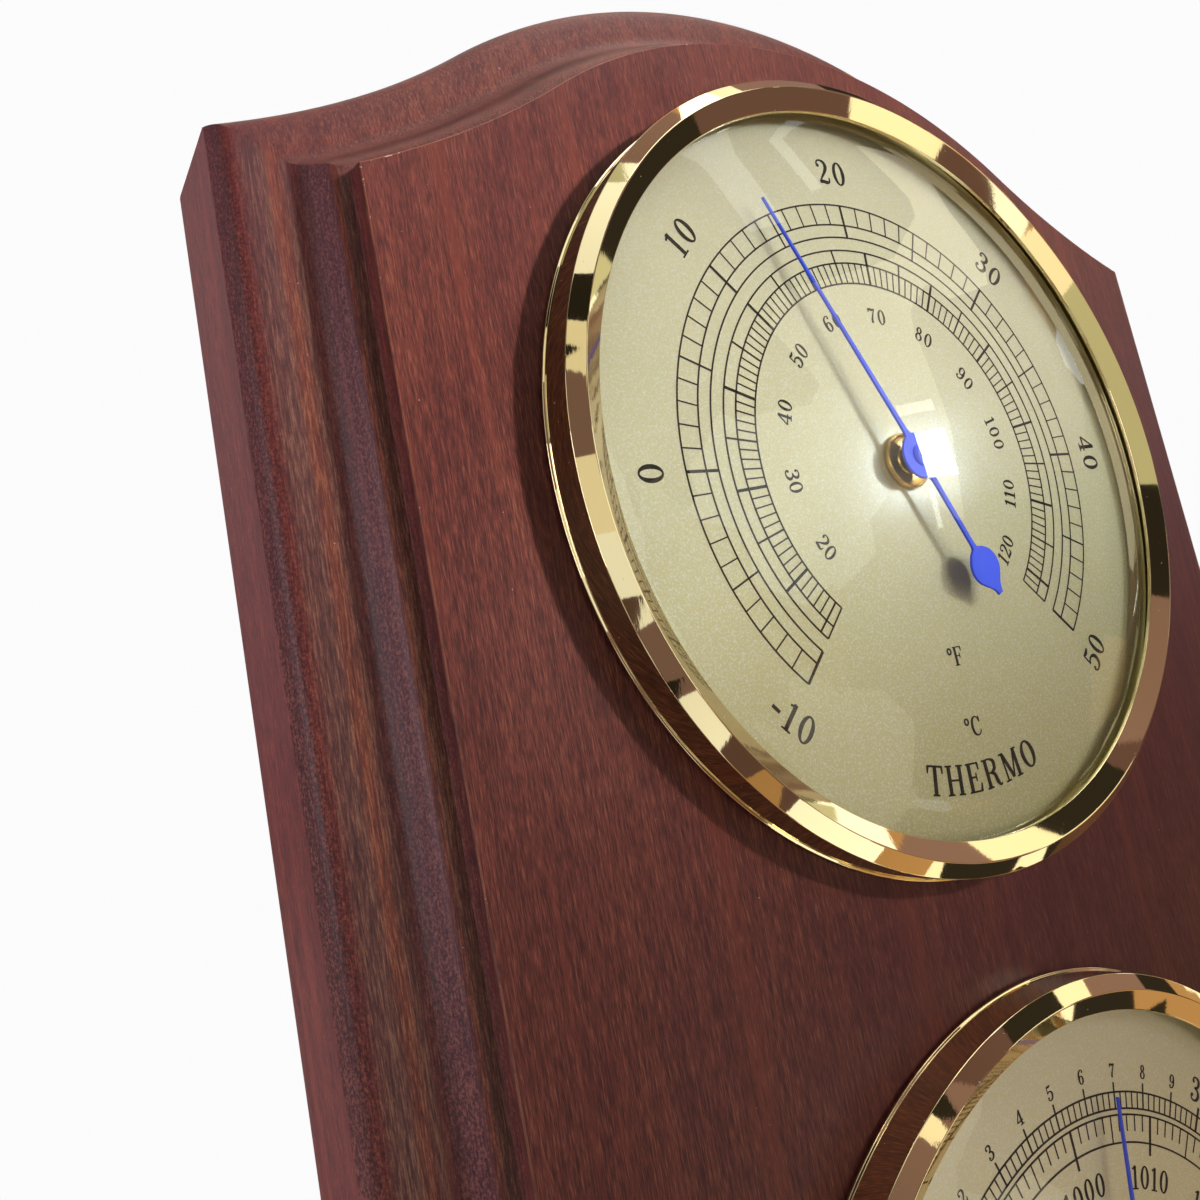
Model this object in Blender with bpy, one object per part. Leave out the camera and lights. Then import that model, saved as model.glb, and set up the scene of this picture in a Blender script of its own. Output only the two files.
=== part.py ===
"""Wall-hung weather station: a moulded hardwood plaque carrying three brass-bezelled dial
instruments, one above the other: thermometer, aneroid barometer and hygrometer.

Metres, +Z up, +X to the viewer's right, the dials face -Y.  The origin is on the flat back of the
plaque, midway between the upper and the middle instrument.  Inside an instrument, "t" is the
height in front of the flat panel; the case lies behind it at negative t.
"""

import math

import bmesh
import bpy
from mathutils import Vector

MM = 0.001

# --- plaque -------------------------------------------------------------------------------
PANEL_T = 22.0          # thickness at the flat panel
HALF_W = 65.0           # half the width, out to the arris
PITCH = 96.3            # from one dial centre to the next
CROWN_RISE = 59.5       # crown above the upper dial centre
CROWN_R = 68.0          # convex arc of the crown
SHOULDER_R = 85.0       # hollow arc of each shoulder
TURN = math.radians(35.1)   # slope where the crown runs into the shoulder
BORE_R = 40.5           # bores for the instrument cases
BACK_ROUND = 2.5        # rounding of the back edge
CROWN_STEPS = 6         # straight pieces in half a crown, and in a shoulder
SHOULDER_STEPS = 5

# moulding, from the arris inwards: (distance in from the edge, depth below the panel)
MOULDING = (
    (0.0, 8.7), (0.8, 7.2), (1.9, 6.5), (3.6, 6.15), (5.4, 5.85), (6.5, 5.2),
    (7.3, 4.1), (8.1, 2.8), (8.8, 2.15), (9.7, 1.8), (10.0, 0.0),
)

# --- instruments --------------------------------------------------------------------------
GAP = 0.3               # air left between pieces that touch
ROUND = 48              # sides of the large turned pieces
DIAL_TOP = 1.9
DIAL_T = 0.5
DIAL_R = 41.4
GLASS_R = 41.4
GLASS_T = 1.1
GLASS_RISE = 4.0
CASE_R = 40.2
CASE_WALL = 0.8
CASE_FLOOR = -18.0      # outer face of the case floor
HAND_T = 3.75           # underside of a hand at its hub
HAND_THICK = 0.3
HAND_TIP = 31.0         # from the axis to the tip
HAND_DIP = 0.65         # how much nearer the dial the tip runs than the hub
HUB_R = 2.5
HUB_HOLE = 0.75
BLADE_HALF = 0.30       # half-widths of the blade at the hub and at the tip, and of the tail
TIP_HALF = 0.12
TAIL_HALF = 0.32
TAIL_END = 11.7         # where the tail meets the drop-shaped counterweight
DROP_AT = 13.6
DROP_R = 2.25
ARBOR_R = 0.7
COIL_T = (-9.0, -5.0)   # the sensing spirals, between these heights
COIL_R = (3.0, 10.2)    # and between these radii
COIL_THICK = 0.5
COIL_TURNS = 3.5
COIL_STEPS = 12
POST_AT = 12.0
# hand angles at rest, clockwise from twelve o'clock
REST = {"thermo": -25.5, "baro": 12.0, "hygro": -18.0}

TOP_Z = PITCH / 2
CENTRES = {"thermo": TOP_Z, "baro": TOP_Z - PITCH, "hygro": TOP_Z - 2 * PITCH}
MID_Z = TOP_Z - PITCH   # the plaque is symmetrical about this height
HANGER_Z = TOP_Z + 48.0
PLATE_X = 13.0          # half-sizes of the hanger plate, and its screws' distance from the middle
PLATE_Z = 6.0
SCREW_X = 9.5


def clear():
    """Start from an empty file."""
    for ob in list(bpy.data.objects):
        bpy.data.objects.remove(ob, do_unlink=True)


def material(name, colour, metallic, roughness):
    """A plain Principled material in the piece's own colour."""
    mat = bpy.data.materials.new(name)
    mat.use_nodes = True
    shader = mat.node_tree.nodes["Principled BSDF"]
    shader.inputs["Base Color"].default_value = (*colour, 1.0)
    shader.inputs["Metallic"].default_value = metallic
    shader.inputs["Roughness"].default_value = roughness
    return mat


def finish(name, bm, origin, look, crease=35.0):
    """Turn a closed bmesh, in millimetres about origin, into the named object."""
    bmesh.ops.recalc_face_normals(bm, faces=bm.faces)
    bmesh.ops.scale(bm, vec=Vector((MM, MM, MM)), verts=bm.verts)
    mesh = bpy.data.meshes.new(name)
    bm.to_mesh(mesh)
    bm.free()
    mesh.materials.append(material(name + "_finish", *look))
    for face in mesh.polygons:
        face.use_smooth = True
    mesh.set_sharp_from_angle(angle=math.radians(crease))
    ob = bpy.data.objects.new(name, mesh)
    ob.location = Vector(origin) * MM
    bpy.context.scene.collection.objects.link(ob)
    return ob


def from_lists(verts, faces):
    """A bmesh from plain vertex and face lists."""
    bm = bmesh.new()
    made = [bm.verts.new(v) for v in verts]
    for face in faces:
        bm.faces.new([made[i] for i in face])
    return bm


def turned(profile, segments):
    """Turn a closed (radius, t) outline about the Y axis; t runs towards -Y."""
    verts, rows = [], []
    for radius, t in profile:
        if radius == 0:
            rows.append([len(verts)] * segments)
            verts.append((0.0, -t, 0.0))
            continue
        rows.append(list(range(len(verts), len(verts) + segments)))
        for k in range(segments):
            a = 2 * math.pi * k / segments
            verts.append((radius * math.sin(a), -t, radius * math.cos(a)))
    faces = []
    for a, b in zip(rows, rows[1:] + rows[:1]):
        if a[0] == a[1] and b[0] == b[1]:
            continue
        for k in range(segments):
            n = (k + 1) % segments
            quad = [a[k], a[n], b[n], b[k]]
            faces.append([v for i, v in enumerate(quad) if v not in quad[:i]])
    return from_lists(verts, faces)


def prism(outline, low, high):
    """A plate with the given (x, z) outline between two t heights."""
    count = len(outline)
    verts = [(x, -low, z) for x, z in outline]
    verts += [(x, -high, z) for x, z in outline]
    faces = [list(range(count)), list(range(2 * count - 1, count - 1, -1))]
    for i in range(count):
        n = (i + 1) % count
        faces.append([i, n, n + count, i + count])
    bm = from_lists(verts, faces)
    bmesh.ops.triangulate(bm, faces=[face for face in bm.faces if len(face.verts) > 4])
    return bm


def cut(target, cutter):
    """Take the cutter out of the target; the cutter stays in the file, hidden."""
    cutter.hide_render = True
    cutter.display_type = "WIRE"
    mod = target.modifiers.new("cut_" + cutter.name, "BOOLEAN")
    mod.operation = "DIFFERENCE"
    mod.solver = "EXACT"
    mod.object = cutter


def rod(radius, low, high, segments):
    """A plain cylinder along the Y axis between two t heights."""
    return turned([(0, low), (radius, low), (radius, high), (0, high)], segments)


def box(x, z, low, high):
    """A block of half-sizes x and z between two t heights."""
    return prism([(-x, -z), (x, -z), (x, z), (-x, z)], low, high)


# --- finishes -----------------------------------------------------------------------------
MAHOGANY = ((0.105, 0.030, 0.022), 0.0, 0.38)
GOLD = ((0.90, 0.68, 0.30), 1.0, 0.12)
CLEAR = ((0.93, 0.95, 0.94), 0.0, 0.03)
CHAMPAGNE = ((0.70, 0.60, 0.38), 1.0, 0.42)
BRASS = ((0.80, 0.58, 0.22), 1.0, 0.25)
STEEL = ((0.60, 0.60, 0.62), 1.0, 0.32)
ZINC = ((0.52, 0.52, 0.50), 1.0, 0.45)
BLUE = ((0.03, 0.10, 0.62), 0.3, 0.30)
BIMETAL = ((0.62, 0.50, 0.36), 1.0, 0.35)
FIBRE = ((0.72, 0.60, 0.42), 0.0, 0.70)


# --- plaque -------------------------------------------------------------------------------
def half_edge(inset):
    """Upper edge from the crown to the right-hand corner, offset inwards; z above MID_Z."""
    base = PITCH + CROWN_RISE - CROWN_R
    pts = []
    for k in range(CROWN_STEPS + 1):
        a = TURN * k / CROWN_STEPS
        pts.append(((CROWN_R - inset) * math.sin(a), base + (CROWN_R - inset) * math.cos(a)))
    cx = (CROWN_R + SHOULDER_R) * math.sin(TURN)
    cz = base + (CROWN_R + SHOULDER_R) * math.cos(TURN)
    radius = SHOULDER_R + inset
    end = math.asin((cx - HALF_W + inset) / radius)
    for k in range(1, SHOULDER_STEPS + 1):
        a = TURN + (end - TURN) * k / SHOULDER_STEPS
        pts.append((cx - radius * math.sin(a), cz - radius * math.cos(a)))
    return pts


def edge_loop(inset):
    """The whole outline at one inset, clockwise from the crown."""
    right = half_edge(inset)
    loop = list(right)
    loop += [(x, -z) for x, z in reversed(right)]
    loop += [(-x, -z) for x, z in right[1:]]
    loop += [(-x, z) for x, z in reversed(right[1:])]
    return loop


def make_board():
    """Moulded plaque with a rounded back edge, three bores and the hanger recess."""
    r = BACK_ROUND
    stations = [(i, PANEL_T - depth) for i, depth in reversed(MOULDING)]
    stations += [(0.0, r), (0.3 * r, 0.3 * r), (r, 0.0)]
    verts, faces = [], []
    count = len(edge_loop(0.0))
    for inset, y in stations:
        verts += [(x, -y, z + MID_Z) for x, z in edge_loop(inset)]
    for s in range(len(stations) - 1):
        for k in range(count):
            n = (k + 1) % count
            faces.append([s * count + k, s * count + n, (s + 1) * count + n, (s + 1) * count + k])
    faces.append(list(range(count)))
    faces.append(list(range((len(stations) - 1) * count, len(stations) * count)))
    board = finish("board", from_lists(verts, faces), (0, 0, 0), MAHOGANY, 24.0)
    for kind, z in CENTRES.items():
        cut(board, finish("cut_bore_" + kind, rod(BORE_R, -30, 10, ROUND), (0, -PANEL_T, z), MAHOGANY))
    # recess for the hanger plate, the deeper pocket behind its keyhole, two pilot holes
    hole = (0, 0, HANGER_Z)
    cut(board, finish("cut_recess", box(PLATE_X + GAP, PLATE_Z + GAP, -2.0, 2.5), hole, MAHOGANY))
    cut(board, finish("cut_pocket", box(4.6, 5.2, 1.5, 10.0), hole, MAHOGANY))
    for side, x in (("l", -SCREW_X), ("r", SCREW_X)):
        place = (x, 0, HANGER_Z)
        cut(board, finish("cut_pilot_" + side, rod(1.3, 1.5, 10.0, 12), place, MAHOGANY))
    return board


def make_hanger():
    """Keyhole hanger let into the back, with its two screws."""
    place = (0, 0, HANGER_Z)
    plate = finish("hanger_plate", box(PLATE_X, PLATE_Z, 1.0, 2.2), place, STEEL)
    # keyhole: a round opening with a narrower slot running up from it
    outline = []
    for k in range(13):
        a = math.radians(30 + 300 * k / 12)
        outline.append((3.4 * math.sin(a), 3.4 * math.cos(a) - 1.6))
    outline += [(-1.7, 4.4), (1.7, 4.4)]
    cut(plate, finish("cut_keyhole", prism(outline, -1.0, 4.0), place, STEEL))
    for side, x in (("l", -SCREW_X), ("r", SCREW_X)):
        hole = finish("cut_screw_" + side, rod(1.4, -1.0, 4.0, 16), (x, 0, HANGER_Z), STEEL)
        cut(plate, hole)
        profile = [(0, 0.05), (1.5, 0.15), (2.1, 0.7), (1.0, 0.7), (1.0, 8.0), (0.3, 9.4), (0, 9.4)]
        finish("hanger_screw_" + side, turned(profile, 16), (x, 0, HANGER_Z), ZINC)


# --- parts every instrument has -----------------------------------------------------------
def glass_profile():
    """Domed glass: a flat rim, then two parallel curved faces."""
    low = DIAL_TOP + GAP
    rim = 38.4
    steps = (1.0, 0.78, 0.45)
    under = [(rim * s, low + GLASS_RISE * (1 - s * s)) for s in steps]
    upper = [(r, t + GLASS_T) for r, t in reversed(under)]
    top = low + GLASS_RISE
    return ([(GLASS_R, low)] + under + [(0, top), (0, top + GLASS_T)] + upper
            + [(GLASS_R, low + GLASS_T)])


def make_shell(kind):
    """Bezel, glass, dial, case and bush, which hold still."""
    z = CENTRES[kind]
    at = (0, -PANEL_T, z)
    bezel = [
        (42.7, 0.3), (42.7, 0.6), (42.4, 0.8), (42.4, 4.2), (40.9, 5.2), (38.9, 4.0),
        (38.9, 3.6), (40.9, 4.4), (41.8, 3.9), (41.8, 0.3),
    ]
    finish(kind + "_bezel", turned(bezel, ROUND), at, GOLD, 20.0)
    finish(kind + "_glass", turned(glass_profile(), 40), at, CLEAR)
    low = DIAL_TOP - DIAL_T
    dial = [(2.6, low), (2.6, DIAL_TOP), (DIAL_R, DIAL_TOP), (DIAL_R, low)]
    finish(kind + "_dial", turned(dial, 40), at, CHAMPAGNE)
    inner = CASE_R - CASE_WALL
    floor = CASE_FLOOR + CASE_WALL
    case = [
        (0, CASE_FLOOR), (CASE_R, CASE_FLOOR), (CASE_R, GAP), (DIAL_R, GAP), (DIAL_R, 1.1),
        (inner, 1.1), (inner, floor), (2.6, floor), (2.2, floor + 3.0), (1.0, floor + 3.0),
        (1.0, floor + 0.2), (0, floor + 0.2),
    ]
    shell = finish(kind + "_case", turned(case, 36), at, ZINC)
    bush = [
        (1.0, -0.6), (2.2, -0.6), (2.2, DIAL_TOP + GAP), (3.0, DIAL_TOP + GAP), (3.0, 2.6),
        (2.85, 2.75), (2.7, 2.5), (1.0, 2.5),
    ]
    finish(kind + "_bush", turned(bush, 20), at, BRASS)
    return shell


def hand_faces():
    """Hand pointing to twelve, as (x, z) points and flat faces: blade, hub, tail and counterweight."""
    first = math.asin(BLADE_HALF / HUB_R)
    last = math.pi - math.asin(TAIL_HALF / HUB_R)
    ring = [first] + [math.radians(a) for a in (35, 62, 90, 118, 145)] + [last]
    right = [(TIP_HALF, HAND_TIP)]
    right += [(HUB_R * math.sin(a), HUB_R * math.cos(a)) for a in ring]
    right.append((TAIL_HALF, -TAIL_END))
    for k in range(7):
        a = math.radians(22 + 118 * k / 6)
        right.append((DROP_R * math.sin(a), DROP_R * math.cos(a) - DROP_AT))
    right.append((0.2, -17.0))
    outer = len(right)
    right += [(HUB_HOLE * math.sin(a), HUB_HOLE * math.cos(a)) for a in ring]
    side = len(right)
    points = right + [(-x, z) for x, z in right]
    faces = [[0, 1, side + 1, side]]
    for k in range(len(ring), outer - 1):
        faces.append([k, k + 1, side + k + 1, side + k])
    hole_end = side - 1
    faces.append([1, outer, side + outer, side + 1])
    faces.append([hole_end, len(ring), side + len(ring), side + hole_end])
    for k in range(len(ring) - 1):
        quad = [1 + k, 2 + k, outer + k + 1, outer + k]
        faces.append(quad)
        faces.append([side + i for i in reversed(quad)])
    return points, faces


def slab(points, faces, height, thick):
    """A closed plate over flat (x, z) faces; height gives the t of its underside."""
    count = len(points)
    verts = [(x, -height(x, z), z) for x, z in points]
    verts += [(x, y - thick, z) for x, y, z in verts]
    rim = set()
    for face in faces:
        for a, b in zip(face, face[1:] + face[:1]):
            if (b, a) in rim:
                rim.remove((b, a))
            else:
                rim.add((a, b))
    body = list(faces) + [[i + count for i in reversed(face)] for face in faces]
    body += [[b, a, a + count, b + count] for a, b in sorted(rim)]
    return from_lists(verts, body)


def turned_by(points, degrees):
    """Turn (x, z) points clockwise as seen from the front."""
    a = math.radians(degrees)
    s, c = math.sin(a), math.cos(a)
    return [(x * c + z * s, z * c - x * s) for x, z in points]


def make_hand(kind, angle):
    """Hand with its arbor; the blade dips a little towards the dial as it runs outwards."""
    at = (0, -PANEL_T, CENTRES[kind])
    s, c = math.sin(math.radians(angle)), math.cos(math.radians(angle))

    def under(x, z):
        return HAND_T - HAND_DIP * max(0.0, x * s + z * c) / HAND_TIP
    points, faces = hand_faces()
    plate = slab(turned_by(points, angle), faces, under, HAND_THICK)
    finish(kind + "_hand", plate, at, BLUE)
    floor = CASE_FLOOR + CASE_WALL
    profile = [
        (0, floor + 0.5), (0.5, floor + 0.7), (ARBOR_R, floor + 3.0), (ARBOR_R, 3.2), (0.45, 3.3),
        (0.45, 4.4), (0, 4.5),
    ]
    finish(kind + "_arbor", turned(profile, 14), at, STEEL)


def make_coil(name, at, look):
    """Flat sensing spiral between the collet on the arbor and the fixed post."""
    count = int(COIL_TURNS * COIL_STEPS)
    rings = []
    for k in range(count + 1):
        a = 2 * math.pi * COIL_TURNS * k / count
        r = COIL_R[0] + (COIL_R[1] - COIL_R[0]) * k / count
        radii = (r - COIL_THICK / 2, r + COIL_THICK / 2)
        rings.append([(q * math.sin(a), -t, q * math.cos(a)) for q in radii for t in COIL_T])
    verts = [v for ring in rings for v in ring]
    faces = [[0, 1, 3, 2], [4 * count + i for i in (0, 2, 3, 1)]]
    for k in range(count):
        for a, b in ((0, 1), (1, 3), (3, 2), (2, 0)):
            faces.append([4 * k + a, 4 * k + b, 4 * k + 4 + b, 4 * k + 4 + a])
    finish(name, from_lists(verts, faces), at, look)


def make_coil_movement(kind, look):
    """Sensing spiral of the thermometer or the hygrometer, with collet and anchor post."""
    at = (0, -PANEL_T, CENTRES[kind])
    low, high = COIL_T
    collet = [(1.0, low), (2.5, low), (2.5, high), (1.0, high)]
    finish(kind + "_collet", turned(collet, 16), at, BRASS)
    make_coil(kind + "_coil", at, look)
    post = rod(1.2, CASE_FLOOR + CASE_WALL + GAP, high + 0.6, 16)
    a = 2 * math.pi * COIL_TURNS
    place = (POST_AT * math.sin(a), -PANEL_T, CENTRES[kind] + POST_AT * math.cos(a))
    finish(kind + "_post", post, place, BRASS)


# --- barometer movement -------------------------------------------------------------------
CAPSULE_X = -22.0       # centre of the aneroid capsule, left of the arbor
CAPSULE_R = 12.0
ROCKER_X = -7.0         # rocker axis, parallel to Z
ROCKER_T = -4.5
ROCKER_HALF_Z = 3.9
ADJUSTER_X = 18.0
VENT_AT = 24.0          # circle of the breathing holes about each arbor


def make_capsule(z):
    """Corrugated aneroid capsule: the fixed half, and the half that rises with its push pin."""
    floor = CASE_FLOOR + CASE_WALL
    at = (CAPSULE_X, -PANEL_T, z)
    base = [
        (0, floor + GAP), (5.0, floor + GAP), (5.0, floor + 2.0), (CAPSULE_R, floor + 2.6),
        (CAPSULE_R, floor + 3.6), (8.0, floor + 3.2), (4.5, floor + 3.6), (0, floor + 3.4),
    ]
    finish("baro_capsule_base", turned(base, 24), at, BRASS)
    top = [
        (0, floor + 4.4), (4.5, floor + 4.6), (8.0, floor + 4.2), (CAPSULE_R, floor + 4.6),
        (CAPSULE_R, floor + 5.0), (8.0, floor + 5.6), (4.5, floor + 5.2), (1.6, floor + 5.8),
        (1.2, ROCKER_T - 1.6), (0, ROCKER_T - 1.6),
    ]
    finish("baro_capsule_top", turned(top, 24), at, BRASS)


def make_rocker(z):
    """Rocker over the push pin, in a forked stand on the case floor."""
    half = ROCKER_HALF_Z
    outline = [
        (-23.0, -1.2), (-9.0, -1.6), (-8.3, -half), (-5.7, -half), (-5.0, -1.2), (-3.6, -1.0),
        (-3.6, 1.0), (-5.0, 1.2), (-5.7, half), (-8.3, half), (-9.0, 1.6), (-23.0, 1.2),
    ]
    outline = [(x - ROCKER_X, zz) for x, zz in outline]
    place = (ROCKER_X, -PANEL_T - ROCKER_T, z)
    finish("baro_rocker", prism(outline, -0.5, 0.5), place, STEEL)
    stand = finish("baro_stand", box(1.5, half + 2.1, CASE_FLOOR + CASE_WALL + GAP, -3.2),
                   (ROCKER_X, -PANEL_T, z), BRASS)
    slot = box(3.0, half + GAP, CASE_FLOOR + CASE_WALL + 1.8, 0.0)
    cut(stand, finish("cut_fork", slot, (ROCKER_X, -PANEL_T, z), BRASS))


def make_adjuster(z, case):
    """Adjusting screw in the floor of the barometer case, slotted for a screwdriver."""
    floor = CASE_FLOOR + CASE_WALL
    at = (ADJUSTER_X, -PANEL_T, z)
    profile = [
        (0, CASE_FLOOR - 1.2), (2.0, CASE_FLOOR - 1.2), (2.0, floor + GAP), (3.0, floor + GAP),
        (3.0, floor + 1.2), (1.2, floor + 1.2), (1.2, floor + 6.0), (0, floor + 6.0),
    ]
    screw = finish("baro_adjuster", turned(profile, 20), at, BRASS)
    slot = box(0.4, 3.0, CASE_FLOOR - 3.0, CASE_FLOOR - 0.4)
    cut(screw, finish("cut_slot", slot, at, BRASS))
    cut(case, finish("cut_adjuster", rod(2.4, CASE_FLOOR - 1.0, floor + 1.0, 20), at, ZINC))


def make_barometer_movement(case):
    """Capsule, rocker, drum on the arbor and adjusting screw."""
    z = CENTRES["baro"]
    make_capsule(z)
    make_rocker(z)
    drum = [(1.0, -9.0), (2.6, -9.0), (2.6, -8.4), (2.0, -8.1), (2.0, -6.9), (2.6, -6.6),
            (2.6, -6.0), (1.0, -6.0)]
    finish("baro_drum", turned(drum, 16), (0, -PANEL_T, z), BRASS)
    make_adjuster(z, case)


# --- air openings in the case floors -------------------------------------------------------
def cut_vents(kind, case, count, size):
    """Round breathing holes in a case floor, on a circle about the arbor."""
    hole = rod(size, CASE_FLOOR - 1.0, CASE_FLOOR + CASE_WALL + 1.0, 12)
    first = finish("cut_vent_" + kind + "_0", hole, (0, 0, 0), ZINC)
    for k in range(count):
        a = 2 * math.pi * (k + 0.35) / count
        place = Vector((VENT_AT * math.sin(a), -PANEL_T, CENTRES[kind] + VENT_AT * math.cos(a)))
        vent = first
        if k:
            vent = bpy.data.objects.new(f"cut_vent_{kind}_{k}", first.data)
            bpy.context.scene.collection.objects.link(vent)
        vent.location = place * MM
        cut(case, vent)


def build():
    """The whole weather station."""
    clear()
    make_board()
    make_hanger()
    cases = {kind: make_shell(kind) for kind in CENTRES}
    for kind, angle in REST.items():
        make_hand(kind, angle)
    make_coil_movement("thermo", BIMETAL)
    make_coil_movement("hygro", FIBRE)
    make_barometer_movement(cases["baro"])
    cut_vents("thermo", cases["thermo"], 4, 2.0)
    cut_vents("hygro", cases["hygro"], 6, 3.0)


build()
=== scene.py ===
import math

import bmesh
import bpy
from mathutils import Matrix, Vector


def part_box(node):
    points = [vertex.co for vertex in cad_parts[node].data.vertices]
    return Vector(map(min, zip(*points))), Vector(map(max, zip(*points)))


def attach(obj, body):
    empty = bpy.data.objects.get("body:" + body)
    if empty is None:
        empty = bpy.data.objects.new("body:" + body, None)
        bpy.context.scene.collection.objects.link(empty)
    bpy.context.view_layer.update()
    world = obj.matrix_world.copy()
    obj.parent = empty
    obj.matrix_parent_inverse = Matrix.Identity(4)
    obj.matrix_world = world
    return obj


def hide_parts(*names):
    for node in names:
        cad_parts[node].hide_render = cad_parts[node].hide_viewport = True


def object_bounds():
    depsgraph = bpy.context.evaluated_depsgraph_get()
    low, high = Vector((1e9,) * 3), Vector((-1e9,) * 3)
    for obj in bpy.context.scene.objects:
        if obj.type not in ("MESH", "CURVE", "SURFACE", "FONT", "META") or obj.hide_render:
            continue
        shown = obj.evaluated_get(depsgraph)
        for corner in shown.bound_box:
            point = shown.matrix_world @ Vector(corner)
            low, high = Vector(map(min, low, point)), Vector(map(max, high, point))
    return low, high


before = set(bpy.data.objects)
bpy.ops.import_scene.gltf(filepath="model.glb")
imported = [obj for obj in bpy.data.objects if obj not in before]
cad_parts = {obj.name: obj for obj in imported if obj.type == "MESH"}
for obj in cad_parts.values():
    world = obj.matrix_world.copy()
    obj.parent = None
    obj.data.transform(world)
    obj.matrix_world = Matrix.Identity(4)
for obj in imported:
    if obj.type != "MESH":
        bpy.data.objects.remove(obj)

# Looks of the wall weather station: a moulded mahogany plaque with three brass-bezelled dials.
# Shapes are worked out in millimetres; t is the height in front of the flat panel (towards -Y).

cad_low, cad_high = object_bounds()

MM = 0.001
KINDS = ("thermo", "baro", "hygro")

# --- places and sizes read from the frame ---
board_low, board_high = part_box("board")
PANEL_T = (board_high.y - board_low.y) / MM
HALF_W = board_high.x / MM
TOP_Z = board_high.z / MM
BOTTOM_Z = board_low.z / MM
MID_Z = (TOP_Z + BOTTOM_Z) / 2


def middle_z(node):
    low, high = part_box(node)
    return (low.z + high.z) / 2 / MM


def front_and_back(node):
    """How far a node's front and its back stand in front of the panel."""
    low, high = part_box(node)
    return -low.y / MM - PANEL_T, -high.y / MM - PANEL_T


CENTRE = {kind: middle_z(kind + "_dial") for kind in KINDS}
DIAL_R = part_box("thermo_dial")[1].x / MM
DIAL_TOP, DIAL_BACK = front_and_back("thermo_dial")
GLASS_TOP, GLASS_BACK = front_and_back("thermo_glass")
CASE_FLOOR = front_and_back("thermo_case")[1]
hanger_low, hanger_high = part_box("hanger_plate")
HANGER_HALF = (hanger_high.x / MM, (hanger_high.z - hanger_low.z) / 2 / MM)
HANGER_Z = middle_z("hanger_plate")
SCREW_X = sum(corner.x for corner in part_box("hanger_screw_r")) / 2 / MM

# --- shape constants, in millimetres ---
CROWN_R = 68.0          # the round middle of the top edge
SHOULDER_R = 85.0       # the hollow curves beside it
TURN = math.radians(35.1)       # where they meet, from the middle of the crown
MOULDING_WIDTH = 10.0
MOULDING = (            # (distance in from the edge, depth below the panel)
    (0.0, 8.7), (0.8, 7.2), (1.9, 6.5), (3.6, 6.15), (5.4, 5.85), (6.5, 5.2),
    (7.3, 4.1), (8.1, 2.8), (8.8, 2.15), (9.7, 1.8),
)
EDGE_WIDTH = 0.13       # width of the worn line along the panel's edge
BACK_ROUND = 2.5        # radius round the back of the plaque
BORE_R = 40.5
CASE_R = 40.2
LATHE = 192             # sides of a large turned piece
HUB_R = 2.5
HAND_T = 3.75           # height of the back of a hand at its hub
HAND_THICK = 0.3
HAND_TIP = 31.0
HAND_DIP = 0.65         # how far the tip bends towards the dial
REST = {"thermo": -25.5, "baro": 12.0, "hygro": -18.0}      # hands, in degrees from upright
PRINT_GAP = 0.004       # between the metal and the ink
PRINT_THICK = 0.03
PRINT_TURN = {"thermo": -1.0, "baro": 0.0, "hygro": 0.6}    # each dial sits a little turned in its case


# --- mesh helpers ---
def catmull(points, steps):
    """Points on a smooth curve through the given tuples."""
    last = len(points) - 1
    out = []
    for i in range(last):
        p = [points[min(max(i + k, 0), last)] for k in (-1, 0, 1, 2)]
        for s in range(steps):
            u = s / steps
            weights = (
                (-u + 2 * u * u - u ** 3) / 2, (2 - 5 * u * u + 3 * u ** 3) / 2,
                (u + 4 * u * u - 3 * u ** 3) / 2, (-u * u + u ** 3) / 2,
            )
            out.append(tuple(sum(w * q[k] for w, q in zip(weights, p)) for k in range(len(p[0]))))
    out.append(tuple(points[-1]))
    return out


def rounded(points, radius, steps=3):
    """A closed outline with its corners rounded; points on the axis (x = 0) stay sharp.

    A point just outside each rounded corner keeps the faces between the corners flat."""
    out = []
    count = len(points)
    for i in range(count):
        a, b, c = (Vector(points[(i + k) % count]) for k in (-1, 0, 1))
        to_a, to_c = a - b, c - b
        angle = to_a.angle(to_c)
        if abs(b.x) < 1e-9 or angle > math.radians(172):
            out.append(tuple(b))
            continue
        cut = min(radius / math.tan(angle / 2), 0.45 * to_a.length, 0.45 * to_c.length)
        start, end = b + to_a.normalized() * cut, b + to_c.normalized() * cut
        out.append(tuple(start + to_a * 0.02))
        for k in range(steps + 1):
            u = k / steps
            out.append(tuple(start * (1 - u) ** 2 + b * 2 * u * (1 - u) + end * u * u))
        out.append(tuple(end + to_c * 0.02))
    return out


def bmesh_from(verts, faces):
    bm = bmesh.new()
    made = [bm.verts.new(v) for v in verts]
    for face in faces:
        bm.faces.new([made[i] for i in face])
    return bm


def lathe(profile, segments, x=0.0, z=0.0):
    """A closed (radius, t) outline turned about the Y axis through (x, z)."""
    verts, rows = [], []
    for radius, t in profile:
        if radius < 1e-6:
            rows.append([len(verts)] * segments)
            verts.append((x, -PANEL_T - t, z))
            continue
        rows.append(list(range(len(verts), len(verts) + segments)))
        for k in range(segments):
            a = 2 * math.pi * k / segments
            verts.append((x + radius * math.sin(a), -PANEL_T - t, z + radius * math.cos(a)))
    faces = []
    for a, b in zip(rows, rows[1:] + rows[:1]):
        if a[0] == a[1] and b[0] == b[1]:
            continue
        for k in range(segments):
            n = (k + 1) % segments
            quad = [a[k], a[n], b[n], b[k]]
            faces.append([v for i, v in enumerate(quad) if v not in quad[:i]])
    return bmesh_from(verts, faces)


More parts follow.
